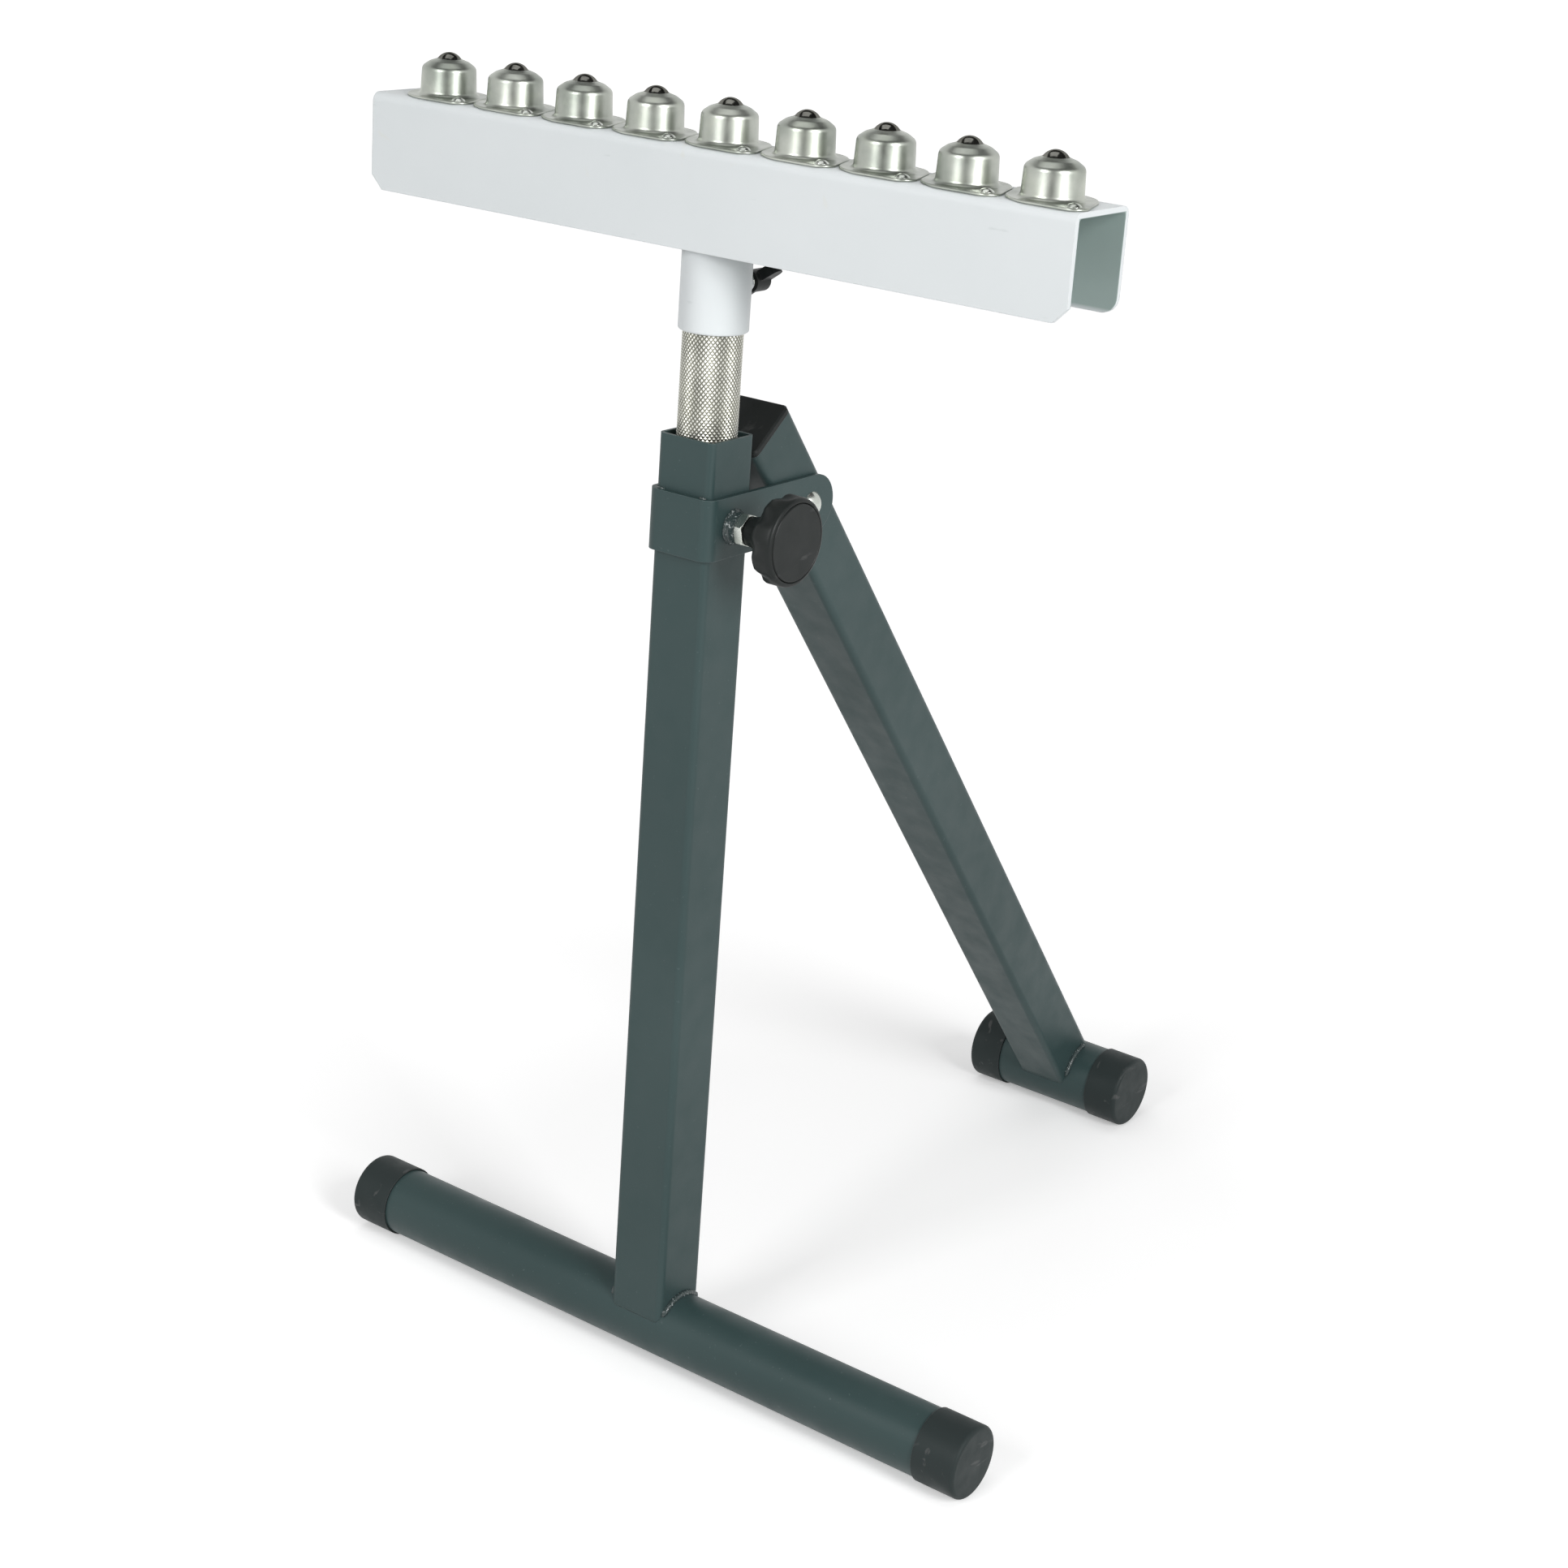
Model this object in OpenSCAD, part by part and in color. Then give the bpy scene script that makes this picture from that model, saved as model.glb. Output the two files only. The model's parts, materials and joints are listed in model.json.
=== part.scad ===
// Height-adjustable ball-transfer stand with a folding rear leg.
// X runs along the front foot and the head channel, Y from the column towards the
// rear foot, Z up. The origin is on the floor under the middle of the stand.

/* [Column] */
// Width across the flats of the square column
column_w = 38; // [32:1:40]
// Wall of the column
column_wall = 2; // [1.5:0.1:2.1]
// Outer corner radius of the column
column_corner_r = 4; // [3:0.5:6]
// Height of the column's open top above the floor
column_top_z = 574; // [560:1:620]

/* [Front foot] */
// Diameter of the front foot tube
front_foot_d = 42.4; // [42:0.1:60]
// Wall of the front foot tube
front_foot_wall = 2; // [1.5:0.1:4]
// Length of the front foot over its caps
front_foot_len = 469; // [300:1:700]

/* [Rear foot] */
// Diameter of the rear foot tube
rear_foot_d = 48.3; // [42:0.1:60]
// Wall of the rear foot tube
rear_foot_wall = 2; // [1.5:0.1:4]
// Length of the rear foot over its caps
rear_foot_len = 124; // [105:1:300]
// Distance from the column's axis to the rear foot's axis
rear_reach = 475.5; // [380:0.5:560]

/* [End caps] */
// Wall of a cap's skirt
cap_skirt = 1.2; // [0.8:0.1:3]
// Thickness of a cap's end
cap_end = 3; // [2:0.5:6]
// Rounding of a cap's outer edge
cap_round = 2.6; // [1:0.1:3]
// Length of a front cap
front_cap_len = 28.5; // [15:0.5:40]
// Length of a rear cap
rear_cap_len = 25; // [15:0.5:30]
// Radial clearance between a cap and its tube
cap_fit = 0.05; // [0.02:0.01:0.3]

/* [Rear leg] */
// Width across the flats of the square rear leg
leg_w = 38; // [32:1:38]
// Wall of the rear leg
leg_wall = 2; // [1.5:0.1:3]
// Outer corner radius of the rear leg
leg_corner_r = 4; // [3:0.5:6]
// Distance from the column's axis back to the leg's pivot
pivot_y = 72.5; // [65:0.5:80]
// Height of the leg's pivot
pivot_z = 526; // [500:1:535]
// Gap between the leg's plug and the column that it leans on
stop_gap = 0.3; // [0.1:0.1:1]
// Thickness of the plug's pad
plug_pad = 3.5; // [2:0.5:6]
// Chamfer round the plug's pad
plug_edge = 1; // [0.5:0.1:1.5]
// Depth of the plug inside the leg
plug_depth = 14; // [8:1:20]
// Clearance between the plug and the leg's inside
plug_fit = 0.1; // [0.05:0.05:0.3]

/* [Pivot collar] */
// Thickness of the collar's strap
strap_t = 3; // [2:0.5:5]
// Height of the collar's strap
strap_h = 34.5; // [28:0.5:40]
// Clearance between the strap, the column and the leg
strap_fit = 0.3; // [0.1:0.1:0.6]
// How far the round end's centre lies behind the pivot
ear_offset = 3.2; // [0:0.1:6]

/* [Pivot bolt] */
// Diameter of the pivot bolt's shank
bolt_d = 8; // [6:1:10]
// Diameter of the pivot bolt's round head
bolt_head_d = 16; // [14:0.5:20]
// Height of the pivot bolt's round head
bolt_head_h = 4.6; // [3:0.1:6]
// Width across the flats of the pivot nut
bolt_nut_af = 13; // [13:0.5:17]
// Height of the pivot nut
bolt_nut_h = 8; // [5:0.5:10]
// Outer diameter of the pivot washer
washer_d = 17; // [16:0.5:24]
// Thickness of the pivot washer
washer_t = 1.6; // [1:0.1:2.5]

/* [Clamp knob] */
// Diameter of the clamp's stud
stud_d = 10; // [8:1:12]
// Gap between the stud's tip and the mast
stud_gap = 0.2; // [0.1:0.05:0.5]
// Diameter of the boss on the collar
boss_d = 17; // [15:0.5:22]
// Length of the boss
boss_len = 5; // [4:0.5:8]
// Gap between the boss and the lock nut
lock_nut_gap = 1; // [0.5:0.1:2]
// Width across the flats of the lock nut
lock_nut_af = 17; // [16:0.5:19]
// Height of the lock nut
lock_nut_h = 6; // [5:0.5:8]
// Diameter of the knob's hub
knob_hub_d = 22; // [18:0.5:26]
// Length of the knob's straight hub
knob_hub_len = 11; // [6:0.5:16]
// Length of the flare between hub and rim
knob_flare_len = 8; // [5:0.5:12]
// Diameter of the knob's rim over its lobes
knob_d = 50; // [44:1:60]
// Width of the knob's rim
knob_rim_len = 12; // [8:0.5:16]
// Number of lobes round the rim
knob_lobes = 8; // [6:1:10]
// Depth of the hollows between the lobes
knob_hollow = 1.8; // [1:0.1:3]
// Radius of the hollows between the lobes
knob_hollow_r = 8; // [6:0.5:12]
// Rounding of the rim's edges
knob_round = 2.5; // [1:0.1:4]
// Diameter of the disc in the knob's face
knob_disc_d = 43.5; // [38:0.5:44]
// Thickness of the disc in the knob's face
knob_disc_t = 2.4; // [1.5:0.1:4]
// Depth of the knob's recess for the disc
knob_recess = 2; // [1:0.1:3]
// Width of the groove round the disc
knob_groove = 0.5; // [0.2:0.1:0.8]

/* [Mast] */
// Diameter of the mast
mast_d = 33.7; // [28:0.1:33.8]
// Wall of the mast
mast_wall = 3.2; // [2:0.1:4]
// Height of the mast's lower end with the head low
mast_bottom_z = 105; // [101:1:200]
// Gap between the mast's top and the channel's web
mast_top_gap = 0.5; // [0.2:0.1:2]
// Radial clearance between the mast and its socket
socket_fit = 0.08; // [0.02:0.01:0.1]

/* [Head channel] */
// Length of the channel
channel_len = 464; // [464:1:600]
// Width of the channel
channel_w = 50; // [50:0.5:70]
// Height of the channel's walls
channel_h = 54; // [46:0.5:70]
// Thickness of the channel's sheet
channel_t = 3; // [2:0.1:4]
// Outer bend radius of the channel
channel_bend_r = 5; // [4.5:0.5:8]
// Height of the channel's lower edges with the head low
channel_z = 675.5; // [665:0.5:700]
// Chamfer of the front wall's lower corners
channel_chamfer = 8; // [4:0.5:12]
// Radius of the back wall's lower corners
channel_back_r = 8.5; // [4:0.5:12]

/* [Socket and wing screw] */
// Wall of the socket
socket_wall = 2.4; // [2:0.1:3]
// Height of the socket's lower end with the head low
socket_z = 631; // [625:1:640]
// Rounding of the socket's lower edge
socket_edge = 1.2; // [0.6:0.1:1.6]
// Height of the wing screw with the head low
wing_z = 654; // [650:0.5:658]
// Diameter of the wing screw's stud
wing_stud_d = 8; // [6:1:8]
// Width across the flats of the weld nut
weld_nut_af = 13; // [12:0.5:14]
// How far the weld nut stands out from the socket
weld_nut_h = 5.5; // [4:0.5:7]
// Gap between the weld nut and the wing grip
wing_gap = 4.5; // [2.5:0.5:6]
// Length of the wing grip's hub
wing_hub_len = 12; // [10:0.5:16]
// Diameter of the wing grip's hub
wing_hub_d = 12.5; // [11:0.5:14]
// Distance from the stud's axis to the centre of a wing's tip
wing_reach = 10.5; // [8:0.5:14]
// Radius of a wing's tip
wing_tip_r = 4.6; // [3:0.1:5]
// Thickness of a wing
wing_t = 6; // [3:0.5:7]
// Turn of the wings from level
wing_turn = 38; // [0:1:90]

/* [Ball units] */
// Number of ball units
ball_count = 9; // [5:1:9]
// Distance between neighbouring ball units
ball_pitch = 50; // [50:0.5:52]
// Shift of the row of ball units towards the clamp's side
row_shift = 2.5; // [0:0.5:2.5]
// Diameter of the load ball
ball_d = 15.88; // [12.7:0.01:16]
// Height of the load ball's top above the channel
ball_top = 24.7; // [24.5:0.1:25]
// Diameter of the pressed shell
shell_d = 31.3; // [31:0.1:32]
// Thickness of the shell's sheet
shell_t = 1.3; // [1:0.1:1.4]
// Height of the shell's shoulder above the channel
shoulder_h = 12.8; // [12.4:0.1:13.4]
// Height of the shell's rim above the channel
rim_h = 20.4; // [20:0.1:20.6]
// Radius of the flare where the dome leaves its flange
flare_r = 3; // [2:0.1:3.5]
// Radius of the flange's round part
flange_r = 23; // [22:0.1:23]
// Distance from the unit's axis to a rivet
rivet_reach = 27; // [26:0.1:27.5]
// Radius of a flange's lobe round its rivet
lobe_r = 7.4; // [6:0.1:7.5]
// Turn of the lobes from the channel's length
lobe_turn = 35.4; // [30:0.1:40]
// Diameter of a rivet's shank
rivet_d = 4.8; // [4:0.1:5]
// Diameter of a rivet's heads
rivet_head_d = 8; // [7:0.1:9]
// Height of a rivet's heads
rivet_head_h = 2; // [1.5:0.1:2.5]
// Diameter of a bearing ball
bearing_d = 3.17; // [2.4:0.01:3.2]
// Running clearance round the load ball and its bearing balls
bearing_gap = 0.03; // [0.01:0.01:0.05]
// Clearance between a cup and its shell
cup_fit = 0.06; // [0.02:0.01:0.2]

/* [Fits and welds] */
// Radial clearance of a turning shank or thread
turn_fit = 0.06; // [0.02:0.01:0.1]
// Radial clearance of a shank in a drilled hole
hole_fit = 0.3; // [0.1:0.05:0.6]
// Radius of the weld beads on the feet
bead_r = 2.4; // [1.5:0.1:3]
// Radius of the tacks on the collar
tack_r = 1.5; // [1:0.1:2]

/* [Hidden] */
$fn = 96;
frame_paint = [0.25, 0.32, 0.32];
head_paint = [0.86, 0.88, 0.88];
zinc = [0.76, 0.77, 0.75];
black_plastic = [0.07, 0.07, 0.07];
bright_steel = [0.62, 0.63, 0.62];

// How far every cut runs past the piece it cuts
overrun = 1;

front_cap_r = front_foot_d / 2 + cap_skirt;
rear_cap_r = rear_foot_d / 2 + cap_skirt;
half_column = column_w / 2;
half_leg = leg_w / 2;

// The rear leg runs from its pivot to the rear foot
leg_drop = pivot_z - rear_cap_r;
leg_run = rear_reach - pivot_y;
leg_angle = atan2(leg_run, leg_drop);
leg_len = norm([leg_run, leg_drop]);
// The plug's edge meets the column, which sets how far the leg stands past its pivot
leg_top = (pivot_y - half_column - stop_gap - half_leg * cos(leg_angle)) / sin(leg_angle) + plug_edge;
leg_tube_top = leg_top - plug_pad;

strap_in = max(half_column, half_leg) + strap_fit;
strap_out = strap_in + strap_t;
strap_corner_r = column_corner_r + strap_fit + strap_t;
ear_y = pivot_y + ear_offset;

mast_r = mast_d / 2;
stud_tip_x = mast_r + stud_gap;
boss_x = strap_out + boss_len;
lock_nut_x = boss_x + lock_nut_gap;
knob_x = lock_nut_x + lock_nut_h;
knob_rim_x = knob_x + knob_hub_len + knob_flare_len;
knob_face_x = knob_rim_x + knob_rim_len;
knob_bore_len = knob_hub_len + knob_flare_len;

channel_top_z = channel_z + channel_h;
web_z = channel_top_z - channel_t;
mast_top_z = web_z - mast_top_gap;
socket_in_r = mast_r + socket_fit;
socket_r = socket_in_r + socket_wall;
weld_nut_y = socket_r + weld_nut_h;
wing_y = weld_nut_y + wing_gap;

shell_r = shell_d / 2;
shell_in_r = shell_r - shell_t;
ball_r = ball_d / 2;
ball_h = ball_top - ball_r;
raceway_r = ball_r + bearing_d + 2 * bearing_gap;
cup_r = shell_in_r - cup_fit;
cup_h = shoulder_h;
// Rings of bearing balls under the load ball: angle from straight down and number of balls
bearing_rings = [[0, 1], [24, 6], [50, 12]];

// The stand's front is its channel or its knob, and its back is the rear cap
front_y = max(channel_w / 2, knob_d / 2, front_cap_r, strap_out);
middle_y = (rear_reach + rear_cap_r - front_y) / 2;

// Places whose zero is under the middle of the stand
module in_place() {
    translate([0, -middle_y, 0]) children();
}

// The rear leg's own frame: pivot at the origin, foot straight down
module in_leg() {
    in_place() translate([0, pivot_y, pivot_z]) rotate([leg_angle, 0, 0]) children();
}

// The clamp screw's own frame: its axis is Z and starts on the column's axis
module in_clamp() {
    in_place() translate([0, 0, pivot_z]) rotate([0, 90, 0]) children();
}

// The wing screw's own frame: its axis is Z and starts on the mast's axis
module in_wing() {
    in_place() translate([0, 0, wing_z]) rotate([-90, 0, 0]) children();
}

// The frame of one ball unit, on top of the channel
module in_unit(i) {
    unit_x = row_shift + (i - (ball_count + 1) / 2) * ball_pitch;
    in_place() translate([unit_x, 0, channel_top_z]) children();
}

module rounded_square(w, r) {
    square([w, w - 2 * r], center = true);
    square([w - 2 * r, w], center = true);
    for (x = [-1, 1], y = [-1, 1])
        translate([x * (w / 2 - r), y * (w / 2 - r)]) circle(r);
}

module square_tube(w, wall, r, length) {
    linear_extrude(length) difference() {
        rounded_square(w, r);
        rounded_square(w - 2 * wall, r - wall);
    }
}

module x_cylinder(r, length) {
    translate([-length / 2, 0, 0]) rotate([0, 90, 0]) cylinder(h = length, r = r);
}

module x_tube(d, wall, length) {
    difference() {
        x_cylinder(d / 2, length);
        x_cylinder(d / 2 - wall, length + 2 * overrun);
    }
}

// A cap that stands up from its open end, with its closed end at the top
module end_cap(tube_d, length) {
    cap_r = tube_d / 2 + cap_skirt;
    rotate_extrude() difference() {
        union() {
            square([cap_r, length - cap_round]);
            square([cap_r - cap_round, length]);
            translate([cap_r - cap_round, length - cap_round]) circle(cap_round);
        }
        translate([0, -overrun]) square([tube_d / 2 + cap_fit, length - cap_end + overrun]);
    }
}

// A hexagon nut with chamfered corners and a plain bore
module hex_nut(af, h, bore_r) {
    corner_r = af / 2 / cos(30);
    chamfer = (corner_r - af / 2) / 2;
    difference() {
        intersection() {
            cylinder(h = h, r = corner_r, $fn = 6);
            rotate_extrude() polygon([
                [0, 0], [corner_r - chamfer, 0], [corner_r, chamfer],
                [corner_r, h - chamfer], [corner_r - chamfer, h], [0, h]
            ]);
        }
        translate([0, 0, -overrun]) cylinder(h = h + 2 * overrun, r = bore_r);
    }
}

// A low round head that rises from Z = 0
module domed_head(d, h) {
    dome_r = (pow(d / 2, 2) + pow(h, 2)) / (2 * h);
    intersection() {
        translate([0, 0, h - dome_r]) sphere(dome_r);
        cylinder(h = h + overrun, r = d / 2 + overrun);
    }
}

// A bead round the foot of a square tube that stands on a round one, whose axis is X at Z = 0
module saddle_bead(tube_w, corner_r, foot_r) {
    difference() {
        intersection() {
            linear_extrude(foot_r + bead_r) rounded_square(tube_w + 2 * bead_r, corner_r + bead_r);
            x_cylinder(foot_r + bead_r, 2 * tube_w);
        }
        translate([0, 0, -overrun]) linear_extrude(foot_r + tube_w) rounded_square(tube_w, corner_r);
        x_cylinder(foot_r, 3 * tube_w);
    }
}

module column_tube() {
    color(frame_paint) in_place() difference() {
        translate([0, 0, front_cap_r])
            square_tube(column_w, column_wall, column_corner_r, column_top_z - front_cap_r);
        translate([0, 0, front_cap_r]) x_cylinder(front_foot_d / 2, column_w + 2 * overrun);
        translate([0, 0, pivot_z]) rotate([0, 90, 0])
            cylinder(h = half_column + overrun, r = stud_d / 2 + hole_fit);
    }
}

module front_foot_tube() {
    color(frame_paint) in_place() translate([0, 0, front_cap_r])
        x_tube(front_foot_d, front_foot_wall, front_foot_len - 2 * cap_end);
}

module front_cap(side) {
    color(black_plastic) in_place() translate([side * (front_foot_len / 2 - front_cap_len), 0, front_cap_r])
        rotate([0, side * 90, 0]) end_cap(front_foot_d, front_cap_len);
}

module pivot_collar() {
    color(frame_paint) in_place() difference() {
        intersection() {
            translate([0, 0, pivot_z - strap_h / 2]) linear_extrude(strap_h) difference() {
                strap_outline(strap_out, strap_corner_r);
                strap_outline(strap_in, strap_corner_r - strap_t);
            }
            translate([-strap_out - overrun, 0, pivot_z]) rotate([90, 0, 90])
                linear_extrude(2 * (strap_out + overrun)) union() {
                    translate([-strap_out - overrun, -strap_h / 2])
                        square([strap_out + overrun + ear_y, strap_h]);
                    translate([ear_y, 0]) circle(strap_h / 2);
                }
        }
        translate([0, pivot_y, pivot_z]) x_cylinder(bolt_d / 2 + turn_fit, 2 * (strap_out + overrun));
        translate([0, 0, pivot_z]) rotate([0, 90, 0])
            cylinder(h = strap_out + overrun, r = stud_d / 2 + hole_fit);
    }
}

// The strap's outside or inside seen from above, open towards the leg
module strap_outline(half_w, corner_r) {
    back = ear_y + strap_h;
    translate([-half_w, corner_r - half_w]) square([2 * half_w, back]);
    translate([corner_r - half_w, -half_w]) square([2 * (half_w - corner_r), back]);
    for (side = [-1, 1])
        translate([side * (half_w - corner_r), corner_r - half_w]) circle(corner_r);
}

module clamp_boss() {
    color(frame_paint) in_clamp() translate([0, 0, strap_out]) difference() {
        cylinder(h = boss_len, r = boss_d / 2);
        translate([0, 0, -overrun]) cylinder(h = boss_len + 2 * overrun, r = stud_d / 2 + turn_fit);
    }
}

module base_welds() {
    color(frame_paint) {
        in_place() translate([0, 0, front_cap_r])
            saddle_bead(column_w, column_corner_r, front_foot_d / 2);
        in_clamp() translate([0, 0, strap_out]) difference() {
            cylinder(h = tack_r, r1 = boss_d / 2 + tack_r, r2 = boss_d / 2);
            translate([0, 0, -overrun]) cylinder(h = boss_len + overrun, r = boss_d / 2);
        }
        in_place() difference() {
            for (side = [-1, 1])
                translate([side * (half_column - column_corner_r), -half_column, pivot_z + strap_h / 2])
                    x_cylinder(tack_r, column_corner_r);
            linear_extrude(column_top_z) rounded_square(column_w, column_corner_r);
            translate([0, 0, pivot_z - strap_h / 2]) linear_extrude(strap_h)
                strap_outline(strap_out, strap_corner_r);
        }
    }
}

module pivot_bolt() {
    nut_side = strap_out + washer_t + bolt_nut_h;
    color(zinc) in_place() translate([0, pivot_y, pivot_z]) rotate([0, 90, 0]) {
        translate([0, 0, -nut_side - bolt_d / 4]) cylinder(h = nut_side + bolt_d / 4 + strap_out, r = bolt_d / 2);
        translate([0, 0, strap_out]) domed_head(bolt_head_d, bolt_head_h);
    }
}

module pivot_washer() {
    color(zinc) in_place() translate([-strap_out - washer_t, pivot_y, pivot_z]) rotate([0, 90, 0])
        difference() {
            cylinder(h = washer_t, r = washer_d / 2);
            translate([0, 0, -overrun]) cylinder(h = washer_t + 2 * overrun, r = bolt_d / 2 + turn_fit);
        }
}

module pivot_nut() {
    color(zinc) in_place() translate([-strap_out - washer_t - bolt_nut_h, pivot_y, pivot_z])
        rotate([0, 90, 0]) hex_nut(bolt_nut_af, bolt_nut_h, bolt_d / 2 + turn_fit);
}

module rear_leg_tube() {
    color(frame_paint) in_leg() difference() {
        translate([0, 0, -leg_len]) square_tube(leg_w, leg_wall, leg_corner_r, leg_len + leg_tube_top);
        translate([0, 0, -leg_len]) x_cylinder(rear_foot_d / 2, leg_w + 2 * overrun);
        x_cylinder(bolt_d / 2 + turn_fit, leg_w + 2 * overrun);
    }
}

module rear_leg_plug() {
    insert_w = leg_w - 2 * leg_wall - 2 * plug_fit;
    insert_r = leg_corner_r - leg_wall;
    color(black_plastic) in_leg() translate([0, 0, leg_tube_top]) {
        hull() {
            linear_extrude(plug_pad - plug_edge) rounded_square(leg_w, leg_corner_r, $fn = 32);
            linear_extrude(plug_pad) rounded_square(leg_w - 2 * plug_edge, leg_corner_r - plug_edge, $fn = 32);
        }
        translate([0, 0, -plug_depth]) square_tube(insert_w, leg_wall, insert_r, plug_depth);
    }
}

module rear_foot_tube() {
    color(frame_paint) in_place() translate([0, rear_reach, rear_cap_r])
        x_tube(rear_foot_d, rear_foot_wall, rear_foot_len - 2 * cap_end);
}

module rear_cap(side) {
    color(black_plastic) in_place()
        translate([side * (rear_foot_len / 2 - rear_cap_len), rear_reach, rear_cap_r])
        rotate([0, side * 90, 0]) end_cap(rear_foot_d, rear_cap_len);
}

module leg_welds() {
    color(frame_paint) in_leg() translate([0, 0, -leg_len])
        saddle_bead(leg_w, leg_corner_r, rear_foot_d / 2);
}

module clamp_stud() {
    tip = stud_d / 8;
    stud_end_x = knob_x + knob_bore_len;
    color(zinc) in_clamp() rotate_extrude() polygon([
        [0, stud_tip_x], [stud_d / 2 - tip, stud_tip_x], [stud_d / 2, stud_tip_x + tip],
        [stud_d / 2, stud_end_x], [0, stud_end_x]
    ]);
}

module clamp_lock_nut() {
    color(zinc) in_clamp() translate([0, 0, lock_nut_x]) hex_nut(lock_nut_af, lock_nut_h, stud_d / 2 + turn_fit);
}

module clamp_knob() {
    hub_r = knob_hub_d / 2;
    rim_r = knob_d / 2;
    color(black_plastic) in_clamp() difference() {
        union() {
            translate([0, 0, knob_x]) rotate_extrude() polygon([
                [0, 0], [hub_r, 0], [hub_r, knob_hub_len],
                [rim_r - knob_round, knob_hub_len + knob_flare_len],
                [rim_r - knob_round, knob_hub_len + knob_flare_len + knob_round],
                [0, knob_hub_len + knob_flare_len + knob_round]
            ]);
            translate([0, 0, knob_rim_x]) rotate_extrude() {
                square([rim_r - knob_round, knob_rim_len]);
                translate([0, knob_round]) square([rim_r, knob_rim_len - 2 * knob_round]);
                for (z = [knob_round, knob_rim_len - knob_round])
                    translate([rim_r - knob_round, z]) circle(knob_round);
            }
        }
        for (i = [0:knob_lobes - 1])
            rotate([0, 0, (i + 0.5) * 360 / knob_lobes])
                translate([rim_r - knob_hollow + knob_hollow_r, 0, knob_rim_x - knob_flare_len])
                cylinder(h = knob_flare_len + knob_rim_len + overrun, r = knob_hollow_r);
        translate([0, 0, knob_face_x - knob_recess])
            cylinder(h = knob_recess + overrun, r = knob_disc_d / 2 + knob_groove);
        translate([0, 0, knob_x - overrun]) cylinder(h = knob_bore_len + overrun, r = stud_d / 2 + turn_fit);
    }
}

module clamp_knob_disc() {
    edge = knob_disc_t / 4;
    disc_r = knob_disc_d / 2;
    color(black_plastic) in_clamp() translate([0, 0, knob_face_x - knob_recess]) rotate_extrude() polygon([
        [0, 0], [disc_r, 0], [disc_r, knob_disc_t - edge], [disc_r - edge, knob_disc_t], [0, knob_disc_t]
    ]);
}

module mast_tube() {
    color(zinc) in_place() translate([0, 0, mast_bottom_z]) difference() {
        cylinder(h = mast_top_z - mast_bottom_z, r = mast_r);
        translate([0, 0, -overrun])
            cylinder(h = mast_top_z - mast_bottom_z + 2 * overrun, r = mast_r - mast_wall);
    }
}

module socket_tube() {
    color(head_paint) in_place() difference() {
        translate([0, 0, socket_z]) rotate_extrude() difference() {
            union() {
                translate([socket_in_r, 0]) square([socket_wall - socket_edge, web_z - socket_z]);
                translate([socket_in_r, socket_edge]) square([socket_wall, web_z - socket_z - socket_edge]);
                translate([socket_r - socket_edge, socket_edge]) circle(socket_edge);
            }
            square([socket_in_r, socket_edge * 2]);
        }
        translate([0, 0, wing_z]) rotate([-90, 0, 0])
            cylinder(h = socket_r + overrun, r = wing_stud_d / 2 + hole_fit);
    }
}

module socket_weld_nut() {
    nut_start = socket_r - weld_nut_h / 2;
    color(head_paint) difference() {
        in_wing() translate([0, 0, nut_start])
            hex_nut(weld_nut_af, weld_nut_y - nut_start, wing_stud_d / 2 + turn_fit);
        in_place() translate([0, 0, socket_z]) cylinder(h = web_z - socket_z, r = socket_r);
    }
}

module wing_stud() {
    tip = wing_stud_d / 8;
    stud_end_y = wing_y + wing_hub_len / 2;
    color(zinc) in_wing() rotate_extrude() polygon([
        [0, stud_tip_x], [wing_stud_d / 2 - tip, stud_tip_x], [wing_stud_d / 2, stud_tip_x + tip],
        [wing_stud_d / 2, stud_end_y], [0, stud_end_y]
    ]);
}

module wing_grip() {
    color(black_plastic) in_wing() translate([0, 0, wing_y]) difference() {
        union() {
            cylinder(h = wing_hub_len, r = wing_hub_d / 2);
            for (side = [0, 180])
                rotate([0, 0, side - wing_turn]) rotate([90, 0, 0]) linear_extrude(wing_t, center = true)
                    hull() {
                        translate([0, wing_tip_r / 2]) square([wing_hub_d / 4, wing_hub_len - wing_tip_r / 2]);
                        translate([wing_reach, wing_hub_len - wing_tip_r / 2]) circle(wing_tip_r, $fn = 32);
                    }
        }
        translate([0, 0, -overrun])
            cylinder(h = wing_hub_len / 2 + overrun, r = wing_stud_d / 2 + turn_fit);
    }
}

module head_channel() {
    color(head_paint) in_place() difference() {
        intersection() {
            translate([-channel_len / 2, 0, channel_z]) rotate([90, 0, 90])
                linear_extrude(channel_len) difference() {
                    channel_outline(channel_w, channel_h, channel_bend_r);
                    channel_outline(channel_w - 2 * channel_t, channel_h - channel_t, channel_bend_r - channel_t);
                }
            union() {
                translate([0, 0, channel_z]) rotate([90, 0, 0]) linear_extrude(channel_w) front_wall_outline();
                translate([0, 0, channel_z]) rotate([-90, 0, 0]) mirror([0, 1, 0])
                    linear_extrude(channel_w) back_wall_outline();
            }
        }
        for (i = [1:ball_count], side = [0, 180])
            translate([row_shift + (i - (ball_count + 1) / 2) * ball_pitch, 0, web_z - overrun])
                rotate([0, 0, side - lobe_turn]) translate([rivet_reach, 0, 0])
                cylinder(h = channel_t + 2 * overrun, r = rivet_d / 2 + turn_fit);
    }
}

// The channel's section from its lower edges up, seen along its length
module channel_outline(w, h, r) {
    translate([-w / 2, 0]) square([w, h - r]);
    translate([r - w / 2, 0]) square([w - 2 * r, h]);
    for (side = [-1, 1])
        translate([side * (w / 2 - r), h - r]) circle(r);
}

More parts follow.
